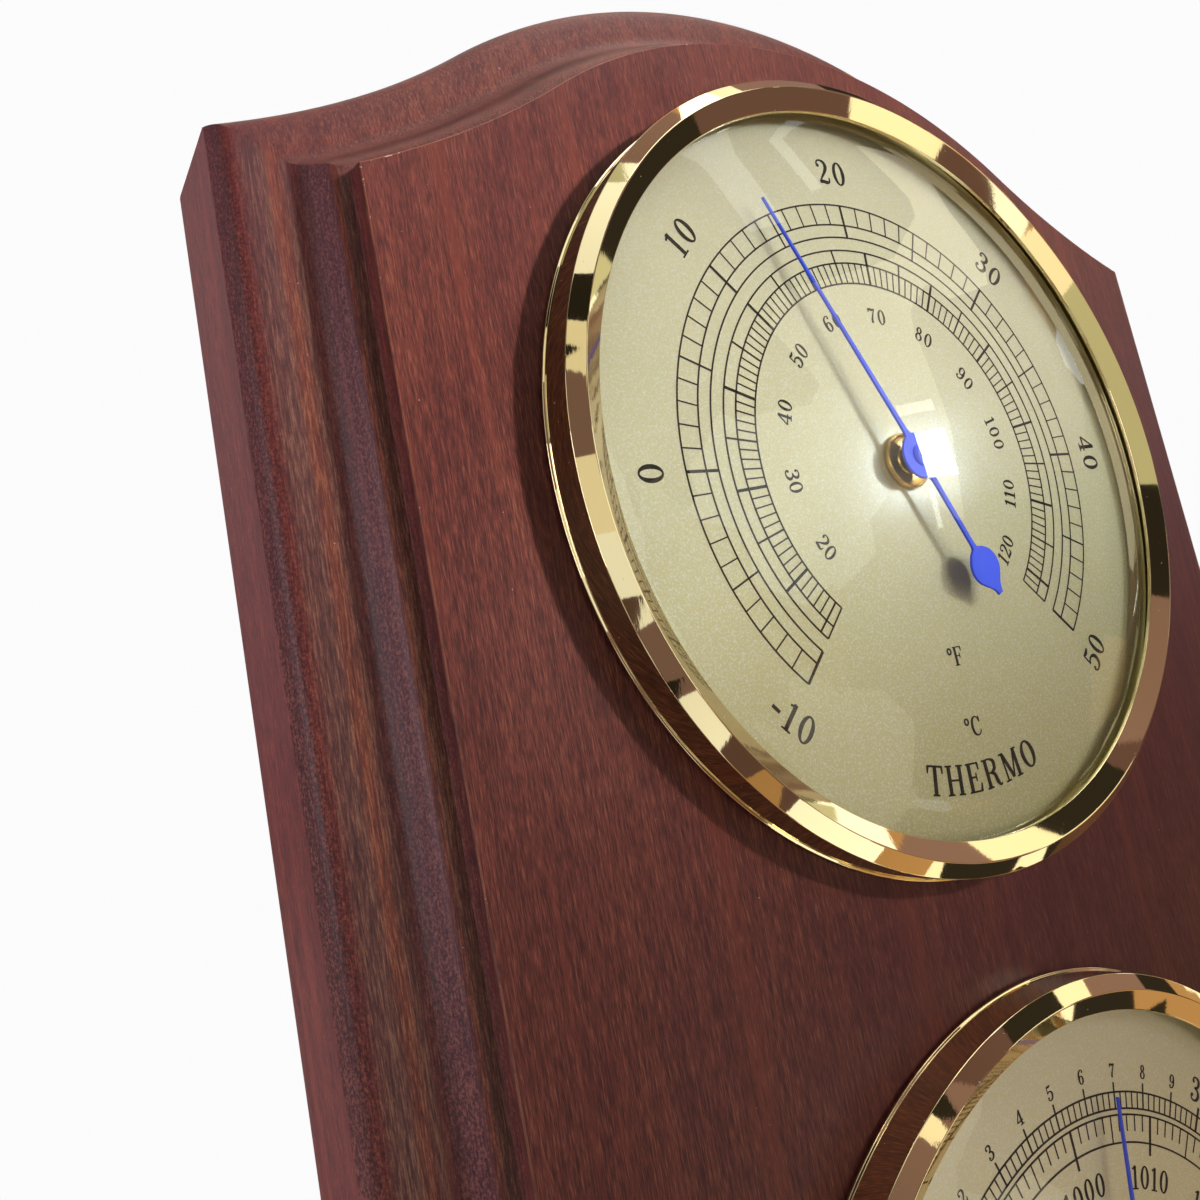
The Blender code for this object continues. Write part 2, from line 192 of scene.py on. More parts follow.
def skin(loops, count):
    """Faces that join a stack of outlines, each with count points."""
    faces = []
    for low in range(0, (loops - 1) * count, count):
        for k in range(count):
            n = (k + 1) % count
            faces.append([low + k, low + n, low + count + n, low + count + k])
    return faces


def prism(outline, low, high):
    """A plate with an (x, z) outline between two t heights."""
    count = len(outline)
    verts = [(x, -PANEL_T - t, z) for t in (low, high) for x, z in outline]
    return bmesh_from(verts, [range(count), range(2 * count - 1, count - 1, -1)] + skin(2, count))


def smooth(mesh, crease):
    for face in mesh.polygons:
        face.use_smooth = True
    mesh.set_sharp_from_angle(angle=math.radians(crease))


def as_object(name, bm, materials, crease=30.0):
    """A smooth-shaded object in metres from a bmesh in millimetres."""
    bmesh.ops.recalc_face_normals(bm, faces=bm.faces)
    bmesh.ops.scale(bm, vec=Vector((MM, MM, MM)), verts=bm.verts)
    mesh = bpy.data.meshes.new(name)
    bm.to_mesh(mesh)
    bm.free()
    for mat in materials:
        mesh.materials.append(mat)
    smooth(mesh, crease)
    ob = bpy.data.objects.new(name, mesh)
    bpy.context.scene.collection.objects.link(ob)
    return ob


def settle(ob, body, replaced=()):
    """Say which body a piece rides on, and hide the CAD nodes that it stands for."""
    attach(ob, body)
    if replaced:
        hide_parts(*replaced)


def turned_piece(kind, name, outline, sides, mat, replaced, crease=40.0, body="plaque"):
    """A piece of one instrument, turned about the instrument's axis."""
    ob = as_object(kind + name, lathe(outline, sides, z=CENTRE[kind]), [mat], crease)
    settle(ob, body, [kind + node for node in replaced])


def rectangle(half_x, half_z):
    return [(-half_x, -half_z), (half_x, -half_z), (half_x, half_z), (-half_x, half_z)]


def drill(radius, low, high, sides, mat, x=0.0, z=0.0):
    """A round cutter between two t heights."""
    bore = lathe([(0, low), (radius, low), (radius, high), (0, high)], sides, x, z)
    return as_object("cutter", bore, [mat])


def carve(ob, cutters, crease=30.0):
    """Take the cutters out of ob and leave the plain result."""
    for cutter in cutters:
        mod = ob.modifiers.new("cut", "BOOLEAN")
        mod.operation = "DIFFERENCE"
        mod.solver = "EXACT"
        mod.object = cutter
    bpy.context.view_layer.update()
    mesh = bpy.data.meshes.new_from_object(ob.evaluated_get(bpy.context.evaluated_depsgraph_get()))
    old = ob.data
    ob.modifiers.clear()
    ob.data = mesh
    bpy.data.meshes.remove(old)
    for cutter in cutters:
        bpy.data.objects.remove(cutter, do_unlink=True)
    smooth(mesh, crease)


# --- node helpers ---
class Nodes:
    """The node tree of a material or a world, with short calls for the nodes used here."""

    def __init__(self, owner, space="Object"):
        owner.use_nodes = True
        self.owner = owner
        self.tree = owner.node_tree
        self.shader = self.tree.nodes.get("Principled BSDF")
        self.coords = self.new("TexCoord").outputs[space]

    def new(self, kind, links=None, **values):
        node = self.tree.nodes.new("ShaderNode" + kind)
        for key, value in values.items():
            setattr(node, key, value)
        for key, value in (links or {}).items():
            self.feed(node.inputs[key], value)
        return node

    def feed(self, socket, value):
        """Link a socket, or set its value; three numbers for a colour get an alpha of one."""
        if isinstance(value, bpy.types.NodeSocket):
            self.tree.links.new(value, socket)
        elif socket.type == "RGBA":
            socket.default_value = (*value, 1)
        else:
            socket.default_value = value

    def axis(self, letter):
        return self.new("SeparateXYZ", {"Vector": self.coords}).outputs[letter]

    def scaled(self, scale, turn=(0, 0, 0)):
        return self.new("Mapping", {"Vector": self.coords, "Scale": scale, "Rotation": turn}).outputs[0]

    def noise(self, scale, detail=3.0, roughness=0.55, distortion=0.0, turn=(0, 0, 0)):
        """Noise with its own scale, in cells per metre, along each axis."""
        return self.new("TexNoise", {
            "Vector": self.scaled(scale, turn), "Scale": 1.0, "Detail": detail,
            "Roughness": roughness, "Distortion": distortion,
        }).outputs["Fac"]

    def ramp(self, value, *stops, stepped=False):
        """A colour ramp from (position, colour or grey) stops."""
        node = self.new("ValToRGB", {"Fac": value})
        node.color_ramp.interpolation = "CONSTANT" if stepped else "LINEAR"
        points = node.color_ramp.elements
        while len(points) < len(stops):
            points.new(0.5)
        for point, (place, colour) in zip(points, stops):
            point.position = place
            grey = isinstance(colour, (int, float))
            point.color = (colour, colour, colour, 1) if grey else (*colour, 1)
        return node.outputs["Color"]

    def math(self, operation, a, b=0.0):
        return self.new("Math", {0: a, 1: b}, operation=operation).outputs[0]

    def total(self, *shares):
        """The sum of (value, weight) pairs."""
        parts = [self.math("MULTIPLY", value, weight) for value, weight in shares]
        out = parts[0]
        for part in parts[1:]:
            out = self.math("ADD", out, part)
        return out

    def mix(self, factor, a, b, blend="MIX"):
        return self.new("Mix", {"Factor": factor, 6: a, 7: b}, data_type="RGBA", blend_type=blend).outputs[2]

    def span(self, value, low, high, start=0.0, end=1.0):
        """A value from start..end stretched over low..high."""
        return self.new("MapRange", {
            "Value": value, "From Min": start, "From Max": end, "To Min": low, "To Max": high,
        }).outputs[0]

    def bump(self, height, distance, strength):
        return self.new("Bump", {"Height": height, "Distance": distance, "Strength": strength}).outputs[0]

    def show_mix(self, share, first, second):
        """Send a mix of two shaders to the output."""
        mixed = self.new("MixShader", {0: share, 1: first.outputs[0], 2: second.outputs[0]})
        for node in self.tree.nodes:
            if node.type in ("OUTPUT_MATERIAL", "OUTPUT_WORLD"):
                self.tree.links.new(mixed.outputs[0], node.inputs["Surface"])

    def set(self, **values):
        """Principled inputs by name, with underscores for spaces."""
        for key, value in values.items():
            self.feed(self.shader.inputs[key.replace("_", " ")], value)


def material(name):
    return Nodes(bpy.data.materials.new(name))


def half_edge(inset):
    """Upper edge from the crown to the right-hand corner, offset inwards; z above MID_Z."""
    crown_steps, shoulder_steps = 40, 34
    base = TOP_Z - MID_Z - CROWN_R
    points = []
    for k in range(crown_steps + 1):
        a = TURN * k / crown_steps
        points.append(((CROWN_R - inset) * math.sin(a), base + (CROWN_R - inset) * math.cos(a)))
    cx = (CROWN_R + SHOULDER_R) * math.sin(TURN)
    cz = base + (CROWN_R + SHOULDER_R) * math.cos(TURN)
    radius = SHOULDER_R + inset
    end = math.asin((cx - HALF_W + inset) / radius)
    for k in range(1, shoulder_steps + 1):
        a = TURN + (end - TURN) * k / shoulder_steps
        points.append((cx - radius * math.sin(a), cz - radius * math.cos(a)))
    return points


# --- materials ---
# Painted shade and sheen, with worn edges: a tint of the stain against depth below the panel (mm); grey 0.5
# leaves the stain as it is. The dark bands are painted shade in the hollows and on the outer round, the lilac
# and pale bands are painted sheen and highlights, and the orange ones are worn edges.
WOOD_SHADE_SHEEN_AND_WEAR_BANDS = (
    (0.05, (0.50, 0.50, 0.50)), (0.20, (0.46, 0.40, 0.48)), (1.70, (0.54, 0.44, 0.52)),
    (1.85, (0.52, 0.70, 0.66)), (2.15, (0.56, 0.74, 0.66)), (2.30, (0.80, 0.74, 0.54)),
    (2.55, (0.60, 0.58, 0.66)), (2.80, (0.66, 0.66, 0.90)), (4.20, (0.64, 0.66, 0.92)),
    (4.70, (0.46, 0.42, 0.48)), (5.50, (0.48, 0.46, 0.50)), (5.80, (0.54, 0.88, 0.88)),
    (6.02, (0.70, 0.80, 0.66)), (6.12, (0.56, 0.96, 1.00)), (6.38, (0.52, 0.80, 0.84)),
    (6.60, (0.52, 0.46, 0.50)), (7.30, (0.52, 0.44, 0.50)), (7.50, (0.60, 0.58, 0.78)),
    (8.55, (0.66, 0.62, 0.82)), (8.80, (0.86, 0.62, 0.74)),
)
# How speckled the surface is against the same depth: steep parts cut across the grain.
WOOD_SPECKLE = (
    (0.20, 0.0), (1.00, 0.8), (1.90, 0.2), (2.50, 0.3), (3.00, 1.0), (4.80, 0.9), (5.75, 0.15),
    (6.35, 0.15), (6.80, 0.9), (8.50, 1.0), (8.80, 0.2),
)
BAND_SPAN = 10.0


def wood(name, corners=()):
    """Mahogany-stained hardwood, grain along Z, under a satin lacquer, with shade and sheen painted in bands
    along the moulding.

    corners makes it the worn line of an edge, with the most wear at those (x, z) places."""
    n = material(name)
    fine = n.noise((9000, 9000, 620), 4.0, 0.65)
    fibre = n.noise((4200, 4200, 260), 3.0, 0.6, 0.3)
    broad = n.noise((330, 330, 40), 3.0, distortion=0.6)
    speckle = n.noise((4600, 4600, 3400), 3.0, 0.65)
    speckle = n.math("ADD", n.math("MULTIPLY", speckle, 1.5), -0.25)
    depth = n.span(n.axis("Y"), 0.0, 1.0, -PANEL_T * MM, (BAND_SPAN - PANEL_T) * MM)
    grain = n.total((fine, 0.60), (fibre, 0.26), (broad, 0.14))
    mottled = n.total((grain, 0.45), (speckle, 0.55))
    shaped = n.ramp(depth, *[(place / BAND_SPAN, share) for place, share in WOOD_SPECKLE])
    blend = n.new("Mix", {"Factor": n.math("MULTIPLY", shaped, 0.85), 2: grain, 3: mottled})
    stain = n.ramp(
        blend.outputs[0],
        (0.40, (0.036, 0.010, 0.011)), (0.475, (0.072, 0.018, 0.015)),
        (0.525, (0.106, 0.028, 0.021)), (0.60, (0.180, 0.060, 0.036)),
    )
    tone = n.noise((26, 26, 9), 2.0)
    stain = n.mix(n.ramp(tone, (0.42, 0.0), (0.62, 0.40)), stain, (0.070, 0.018, 0.022))
    streak = n.noise((520, 520, 16), 3.0, 0.6)
    stain = n.mix(n.ramp(streak, (0.56, 0.0), (0.68, 0.40)), stain, (0.170, 0.040, 0.024))
    # Painted shade and sheen, with worn edges: the depth bands darken the hollows and lighten the parts that
    # face the lights, multiplied into the stain.
    shade_sheen_and_wear = n.ramp(depth, *[(place / BAND_SPAN, tint) for place, tint in WOOD_SHADE_SHEEN_AND_WEAR_BANDS])
    doubled_shade_sheen_and_wear = n.new("VectorMath", {0: shade_sheen_and_wear, 1: (2, 2, 2)}, operation="MULTIPLY").outputs[0]
    stain = n.mix(off_the_mitre(n), stain, n.mix(1.0, stain, doubled_shade_sheen_and_wear, "MULTIPLY"))
    cells = n.new("TexVoronoi", {"Vector": n.scaled((4300, 4300, 700)), "Scale": 1.0})
    pores = cells.outputs["Distance"]
    patchy = n.ramp(n.noise((900, 900, 260), 2.0), (0.50, 0.0), (0.64, 0.4))
    dark = n.math("MULTIPLY", n.ramp(pores, (0.08, 1.0), (0.20, 0.0)), patchy)
    colour = n.mix(dark, stain, (0.018, 0.006, 0.006))
    if corners:
        colour = worn(n, colour, corners)
    dust = n.ramp(n.noise((1900, 1900, 1900), 2.0), (0.775, 0.0), (0.80, 0.5))
    colour = n.mix(dust, colour, (0.42, 0.36, 0.34))
    height = n.total((grain, 1.2), (dark, -0.8))
    rough = n.math("ADD", n.span(fine, 0.32, 0.50), n.ramp(depth, (0.86, 0.0), (0.90, 0.28)))
    n.set(
        Base_Color=colour, Roughness=rough, Normal=n.bump(height, 0.000018, 0.5),
        Coat_Weight=0.05, Coat_Roughness=0.30, Specular_IOR_Level=0.20,
    )
    return n.owner


def off_the_mitre(n):
    """How strongly the painted shade and sheen bands show: 1 on the sides, 0.25 past the mitres, along the
    top, where the moulding runs across the grain.
    """
    (x0, z0), (x1, z1) = half_edge(MOULDING_WIDTH)[-1], half_edge(0.0)[-1]
    slope = (z1 - z0) / (x1 - x0)
    across = n.math("ABSOLUTE", n.axis("X"))
    along = n.math("ABSOLUTE", n.math("SUBTRACT", n.axis("Z"), MID_Z * MM))
    mitre = n.math("ADD", n.math("MULTIPLY", across, slope), (z0 - slope * x0) * MM)
    return n.span(n.math("SUBTRACT", mitre, along), 0.25, 1.0, -0.0002, 0.0002)


def worn(n, colour, corners):
    """Rubbed stain all along an edge, and bare wood near the corners."""
    wear = n.noise((260, 260, 260), 4.0, 0.7)
    colour = n.mix(n.ramp(wear, (0.40, 0.15), (0.56, 0.75)), colour, (0.21, 0.070, 0.036))
    near = 0.0
    for x, z in corners:
        away = n.new("VectorMath", {
            0: n.coords, 1: (x * MM, -PANEL_T * MM, z * MM),
        }, operation="DISTANCE").outputs["Value"]
        near = n.math("ADD", n.span(away, 1.0, 0.0, 0.001, 0.006), near)
    bare = n.math("ADD", n.noise((1300, 1300, 1300), 4.0, 0.7), n.math("MULTIPLY", near, 0.16))
    return n.mix(n.ramp(bare, (0.66, 0.0), (0.70, 0.9)), colour, (0.56, 0.45, 0.38))


def polished_brass(name):
    """Lacquered mirror-polished brass with faint wiping marks and dust."""
    n = material(name)
    cloud = n.noise((60, 60, 60))
    marks = n.noise((900, 900, 90), 4.0, 0.7, turn=(0.3, 0.5, 0.2))
    colour = n.mix(n.span(cloud, 0.0, 1.0), (0.95, 0.84, 0.52), (0.92, 0.79, 0.44))
    dust = n.ramp(n.noise((2600, 2600, 2600), 2.0), (0.75, 0.0), (0.78, 0.75))
    n.set(
        Base_Color=n.mix(dust, colour, (0.55, 0.52, 0.47)), Metallic=n.span(dust, 1.0, 0.1),
        Roughness=n.math("ADD", n.span(marks, 0.01, 0.05), n.math("MULTIPLY", dust, 0.4)),
        Normal=n.bump(marks, 0.000004, 0.5),
    )
    return n.owner


def turned_brass(name):
    """Turned brass with fine tool rings."""
    n = material(name)
    rings = n.noise((1400, 5200, 1400))
    cloud = n.noise((300, 300, 300), 2.0)
    n.set(
        Base_Color=n.mix(n.span(cloud, 0.0, 1.0), (0.80, 0.56, 0.20), (0.66, 0.42, 0.14)),
        Metallic=1.0, Roughness=n.span(rings, 0.14, 0.30), Normal=n.bump(rings, 0.000008, 0.5),
    )
    return n.owner


def dial_metal(name, top, painted_shade_bottom, level):
    """Brushed champagne-gold dial: fine level brushing with a sparkle, and painted shade that turns it darker
    and yellower towards the bottom.
    """
    n = material(name)
    brush = n.noise((420, 2000, 9000), 4.0, 0.65)
    sparkle = n.noise((5200, 5200, 5200), 2.0, 0.7)
    # Painted shade: the colour fades from the top colour to a darker, yellower one at the bottom of the dial.
    fade = n.span(n.axis("Z"), 0.0, 1.0, (level - DIAL_R) * MM, (level + DIAL_R) * MM)
    colour = n.mix(n.span(brush, 0.0, 0.35), n.mix(fade, painted_shade_bottom, top), (0.95, 0.92, 0.84), "MULTIPLY")
    colour = n.mix(n.ramp(sparkle, (0.50, 0.0), (0.66, 0.45)), colour, (0.84, 0.92, 1.00))
    n.set(
        Base_Color=colour, Metallic=0.85, Coat_Weight=0.5, Coat_Roughness=0.12,
        Roughness=n.math("ADD", n.span(brush, 0.42, 0.54), n.span(sparkle, -0.05, 0.05)),
        Normal=n.bump(n.total((brush, 0.8), (sparkle, 0.5)), 0.0000007, 0.6),
    )
    return n.owner


def ink(name):
    """Warm black printing ink, a little uneven."""
    n = material(name)
    uneven = n.noise((1800, 1800, 1800))
    n.set(
        Base_Color=n.ramp(uneven, (0.35, (0.016, 0.012, 0.010)), (0.70, (0.045, 0.036, 0.028))),
        Roughness=n.span(uneven, 0.5, 0.7), Specular_IOR_Level=0.15,
    )
    return n.owner


def clear_glass(name):
    """Thin clear glass: it shows what is behind it and mirrors the room by Fresnel."""
    n = material(name)
    n.tree.nodes.remove(n.shader)
    smear = n.noise((45, 45, 45), 4.0, 0.7)
    fresnel = n.new("Fresnel", {"IOR": 1.5}).outputs[0]
    back = n.new("NewGeometry").outputs["Backfacing"]
    n.show_mix(
        n.math("MULTIPLY", fresnel, n.math("SUBTRACT", 1.0, back)),
        n.new("BsdfTransparent", {"Color": (0.985, 0.99, 0.985)}),
        n.new("BsdfGlossy", {"Color": (1, 1, 1), "Roughness": n.span(smear, 0.0, 0.035)}),
    )
    return n.owner


def blue_lacquer(name):
    """Royal-blue anodised sheet with faint rolling lines."""
    n = material(name)
    lines = n.noise((2500, 2500, 600), turn=(0, 0.7, 0))
    n.set(
        Base_Color=n.mix(n.span(lines, 0.0, 1.0), (0.024, 0.072, 0.78), (0.042, 0.115, 0.95)),
        Metallic=0.15, Roughness=n.span(lines, 0.34, 0.48), Normal=n.bump(lines, 0.000006, 0.4),
        Coat_Weight=0.15, Coat_Roughness=0.25,
    )
    return n.owner


def plated(name, colour, shade, rough=(0.28, 0.5), metallic=1.0):
    """Plain plated or rolled metal with mottling and fine lines along Z."""
    n = material(name)
    mottle = n.noise((130, 130, 130), 4.0, 0.65)
    lines = n.noise((2200, 2200, 120))
    n.set(
        Base_Color=n.mix(n.ramp(mottle, (0.35, 0.0), (0.68, 1.0)), colour, shade),
        Metallic=metallic, Roughness=n.span(lines, *rough), Normal=n.bump(lines, 0.000012, 0.5),
    )
    return n.owner


MAHOGANY = wood("mahogany")
BEZEL_BRASS = polished_brass("polished_brass")
BRASS = turned_brass("turned_brass")
INK = ink("dial_ink")
GLASS = clear_glass("clear_glass")
BLUE = blue_lacquer("blue_hand")
STEEL = plated("bright_steel", (0.62, 0.62, 0.63), (0.48, 0.48, 0.50))
DARK_STEEL = plated("blued_steel", (0.030, 0.034, 0.060), (0.018, 0.018, 0.030), (0.2, 0.35))
ZINC = plated("zinc_plate", (0.58, 0.57, 0.52), (0.44, 0.45, 0.44), (0.35, 0.55))
BIMETAL = plated("bimetal_strip", (0.64, 0.52, 0.38), (0.50, 0.42, 0.34))
FIBRE = plated("sensing_strip", (0.70, 0.58, 0.40), (0.56, 0.44, 0.28), (0.6, 0.8), 0.0)
# Each dial's top colour and its darker, yellower bottom colour, which is painted shade.
DIAL_METAL = {
    kind: dial_metal(kind + "_dial_metal", (0.76, 0.745, 0.54), (0.58, 0.56, 0.28), CENTRE[kind])
    for kind in KINDS
}


# --- plaque ---
def edge_loop(inset):
    """The whole outline at one inset."""
    right = half_edge(inset)
    right += [(x, -z) for x, z in reversed(right)]
    return right + [(-x, z) for x, z in reversed(right[1:-1])]


def plaque_stations():
    """(inset, height above the back) from the panel's edge out to the back face."""
    step_in, step_out = MOULDING_WIDTH, MOULDING[-1][0]
    stations = [(step_in + EDGE_WIDTH, PANEL_T), (step_in + 0.04, PANEL_T - 0.02)]
    stations += [(step_in - 0.03, PANEL_T - 0.12), (step_in - 0.08, PANEL_T - 0.35)]
    curve = catmull(list(reversed(MOULDING)), 5)
    stations.append((step_out + 0.12, PANEL_T - MOULDING[-1][1] + 0.25))
    stations += [(inset, PANEL_T - depth) for inset, depth in curve[:-1]]
    arris = PANEL_T - MOULDING[0][1]
    stations += [(0.12, arris + 0.16), (0.03, arris + 0.02), (0.0, arris - 0.12), (0.0, arris - 0.35)]
    r = BACK_ROUND
    stations.append((0.0, r + 0.3))
    for k in range(9):
        a = math.radians(90 * k / 8)
        stations.append((r - r * math.cos(a), r - r * math.sin(a)))
    return stations


def make_plaque():
    stations = plaque_stations()
    loops = [edge_loop(inset) for inset, _ in stations]
    count = len(loops[0])
    verts = [(x, -height, z + MID_Z) for (_, height), loop in zip(stations, loops) for x, z in loop]
    caps = [range(count), range(len(verts) - count, len(verts))]
    bm = bmesh_from(verts, skin(len(loops), count) + caps)
    bm.faces.ensure_lookup_table()
    for i in range(2 * count):
        bm.faces[i].material_index = 1
    x, z = half_edge(MOULDING_WIDTH)[-1]
    corners = [(side * (x - 3), MID_Z + up * z) for side in (-1, 1) for up in (-1, 1)]
    ob = as_object("plaque", bm, [MAHOGANY, wood("mahogany_worn_edge", corners)], 28.0)
    cutters = [drill(BORE_R, -PANEL_T - 5, 5, LATHE, MAHOGANY, z=CENTRE[kind]) for kind in KINDS]
    half_x, half_z = HANGER_HALF
    for hx, hz, deep, corner in ((half_x + 0.3, half_z + 0.3, 2.5, 2.2), (4.6, 5.2, 10.0, 4.0)):
        outline = [(x, z + HANGER_Z) for x, z in rounded(rectangle(hx, hz), corner, 6)]
        cutters.append(as_object("cutter", prism(outline, -PANEL_T - 3, -PANEL_T + deep), [MAHOGANY]))
    for x in (-SCREW_X, SCREW_X):
        cutters.append(drill(1.3, -PANEL_T + 2, -PANEL_T + 10, 24, MAHOGANY, x, HANGER_Z))
    carve(ob, cutters, 28.0)
    settle(ob, "plaque", ["board"])


# --- hanger ---
def make_hanger():
    back = -PANEL_T
    outline = [(x, z + HANGER_Z) for x, z in rounded(rectangle(*HANGER_HALF), 2.0, 6)]
    plate = as_object("keyhole_plate", prism(outline, back + 1.0, back + 2.2), [STEEL])
    key = []
    for k in range(33):
        a = math.radians(30 + 300 * k / 32)
        key.append((3.4 * math.sin(a), 3.4 * math.cos(a) - 1.6 + HANGER_Z))
    for k in range(9):
        a = math.radians(-90 + 180 * k / 8)
        key.append((1.7 * math.sin(a), 1.7 * math.cos(a) + 2.7 + HANGER_Z))
    cutters = [as_object("cutter", prism(key, back - 1, back + 4), [STEEL])]
    sink = [(0, back + 0.5), (2.6, back + 0.5), (1.4, back + 1.7), (1.4, back + 3), (0, back + 3)]
    for x in (-SCREW_X, SCREW_X):
        cutters.append(as_object("cutter", lathe(sink, 40, x, HANGER_Z), [STEEL]))
    carve(plate, cutters)
    bevel = plate.modifiers.new("edge", "BEVEL")
    bevel.width = 0.12 * MM
    bevel.segments = 2
    bevel.limit_method = "ANGLE"
    settle(plate, "plaque", ["hanger_plate"])
    for side, x in (("l", -SCREW_X), ("r", SCREW_X)):
        head = rounded([(0, back + 0.05), (1.6, back + 0.12), (2.15, back + 0.7), (1.0, back + 0.95),
                        (1.0, back + 8.0), (0.25, back + 9.4), (0, back + 9.4)], 0.12, 2)
        screw = as_object("hanger_screw_" + side + "_turned", lathe(head, 48, x, HANGER_Z), [ZINC])
        slots = []
        for turn in (0.35, 0.35 + math.pi / 2):
            s, c = math.sin(turn), math.cos(turn)
            bar = [(x + u * c - v * s, HANGER_Z + u * s + v * c) for u, v in rectangle(1.15, 0.2)]
            slots.append(as_object("cutter", prism(bar, back - 1.0, back + 0.65), [ZINC]))
        carve(screw, slots)
        settle(screw, "plaque", ["hanger_screw_" + side])


# --- turned pieces of an instrument ---
def make_bezel(kind):
    """Deep polished ring: thin flange, upright wall, wide outer bevel and narrow inner facet."""
    outline = [
        (42.68, 0.3), (42.68, 0.56), (42.46, 0.68), (42.43, 2.2), (42.42, 4.1), (40.95, 5.2),
        (38.95, 4.0), (38.9, 3.6), (40.9, 4.4), (41.8, 3.9), (41.8, 0.3),
    ]
    turned_piece(kind, "_bezel_ring", rounded(outline, 0.10, 3), LATHE, BEZEL_BRASS,
                 ["_bezel"], 24.0)


def make_crystal(kind):
    """Domed glass with a flat rim."""
    thick = 1.1
    rim, low = 38.4, GLASS_BACK
    rise = GLASS_TOP - thick - low
    under = [(rim * (1 - k / 16), low + rise * (1 - (1 - k / 16) ** 2)) for k in range(17)]
    upper = [(r, t + thick) for r, t in reversed(under)]
    outline = [(DIAL_R - 0.2, low)] + under + upper + [(DIAL_R - 0.2, low + thick)]
    turned_piece(kind, "_crystal", outline, 128, GLASS, ["_glass"], 50.0)


def make_dial(kind):
    low, top = DIAL_BACK, DIAL_TOP
    outline = rounded([(2.6, low), (2.6, top), (DIAL_R, top), (DIAL_R, low)], 0.08, 2)
    turned_piece(kind, "_dial_plate", outline, LATHE, DIAL_METAL[kind], ["_dial"], 30.0)


def make_bush(kind):
    """Turned brass bush: a low cap on the dial with a rolled rim round a sunken face."""
    top = DIAL_TOP
    outline = [(1.0, -0.6), (2.2, -0.6), (2.2, top + 0.06), (2.95, top + 0.06), (3.02, top + 0.14),
               (3.02, top + 0.48)]
    for k in range(1, 8):
        a = math.radians(180 * k / 8)
        outline.append((2.86 + 0.16 * math.cos(a), top + 0.48 + 0.16 * math.sin(a)))
    outline += [(2.70, top + 0.40), (2.55, top + 0.36), (1.5, top + 0.36), (1.4, top + 0.55),
                (1.0, top + 0.55)]
    turned_piece(kind, "_bush_turned", outline, 96, BRASS, ["_bush"])


# --- hands ---
def turned_by(points, degrees):
    """Turn (x, z) points clockwise as seen from the front."""
    a = math.radians(degrees)
    s, c = math.sin(a), math.cos(a)
    return [(x * c + z * s, z * c - x * s) for x, z in points]


def hand_half():
    """Right-hand side of a hand pointing to twelve, from the tip to the end of the tail."""
    side = [(0.12, HAND_TIP - 0.05), (0.14, HAND_TIP - 1.0), (0.22, 16.0), (0.30, 4.0), (0.34, 3.0)]
    for k in range(25):
        a = math.radians(12 + 156 * k / 24)
        side.append((HUB_R * math.sin(a), HUB_R * math.cos(a)))
    side += [(0.34, -3.0), (0.30, -4.0), (0.30, -10.9), (0.38, -11.4)]
    drop = [(1.15, -11.75), (1.95, -12.55), (2.28, -13.55), (2.08, -14.55), (1.45, -15.35),
            (0.80, -16.0), (0.46, -16.6), (0.38, -17.0)]
    return side + catmull(drop, 4)


def make_hand(kind):
    """Stamped hand with softened edges, slightly bent towards the dial, on its arbor."""
    right = hand_half()
    soften = 0.05
    levels = ((soften, 0.0), (0.0, soften), (0.0, HAND_THICK - soften), (soften, HAND_THICK))
    verts = []
    for inset, lift in levels:
        half = []
        for x, z in right:
            shorter = inset if z > HAND_TIP - 0.1 else (-inset if z < -16.9 else 0.0)
            half.append((x - min(inset, 0.4 * x), z - shorter))
        loop = half + [(-x, z) for x, z in reversed(half)]
        for (_, z), (turned_x, turned_z) in zip(loop, turned_by(loop, REST[kind])):
            dip = HAND_DIP * max(0.0, z) / HAND_TIP
            verts.append((turned_x, -PANEL_T - (HAND_T - dip + lift), turned_z + CENTRE[kind]))
    count = 2 * len(right)
    faces = skin(len(levels), count)
    for low in (0, len(verts) - count):
        for i in range(len(right) - 1):
            faces.append([low + i, low + i + 1, low + count - 2 - i, low + count - 1 - i])
    body = kind + "_hand_set"
    settle(as_object(kind + "_pointer", bmesh_from(verts, faces), [BLUE], 40.0), body,
           [kind + "_hand"])
    top = HAND_T + HAND_THICK
    collar = rounded([(0.47, top + 0.01), (1.15, top + 0.01), (1.15, top + 0.16), (0.85, top + 0.30),
                      (0.47, top + 0.30)], 0.05, 2)
    turned_piece(kind, "_hub_collar", collar, 48, BLUE, [], body=body)
    low = CASE_FLOOR + 1.3
    pin = rounded([(0, low), (0.5, low + 0.2), (0.7, low + 2.5), (0.7, 3.2), (0.45, 3.3), (0.45, 4.42),
                   (0.30, 4.5), (0, 4.5)], 0.05, 2)
    turned_piece(kind, "_arbor_pin", pin, 40, DARK_STEEL, ["_arbor"], body=body)


# --- printing on the dials ---
# Letters are 100 units high.  A line or curve runs through (u, v, thickness) points, and a letter is
# its width and its strokes.
INK_SPREAD = 2.5        # what the ink adds to every stroke


def line(*points):
    return "line", points


def curve(*points):
    return "curve", points


def ring(u, v, half_width, half_height, side, top):
    """An oval with walls of the given thickness at its sides and at its top."""
    return "ring", (u, v, half_width, half_height, side, top)


def dot(u, v, radius):
    return "dot", (u, v, radius)


def foot(u, half=16, v=1.8):
    """A thin level serif."""
    return line((u - half, v, 4), (u + half, v, 4))


def stem(u, width=14):
    return line((u, 1, width), (u, 99, width))


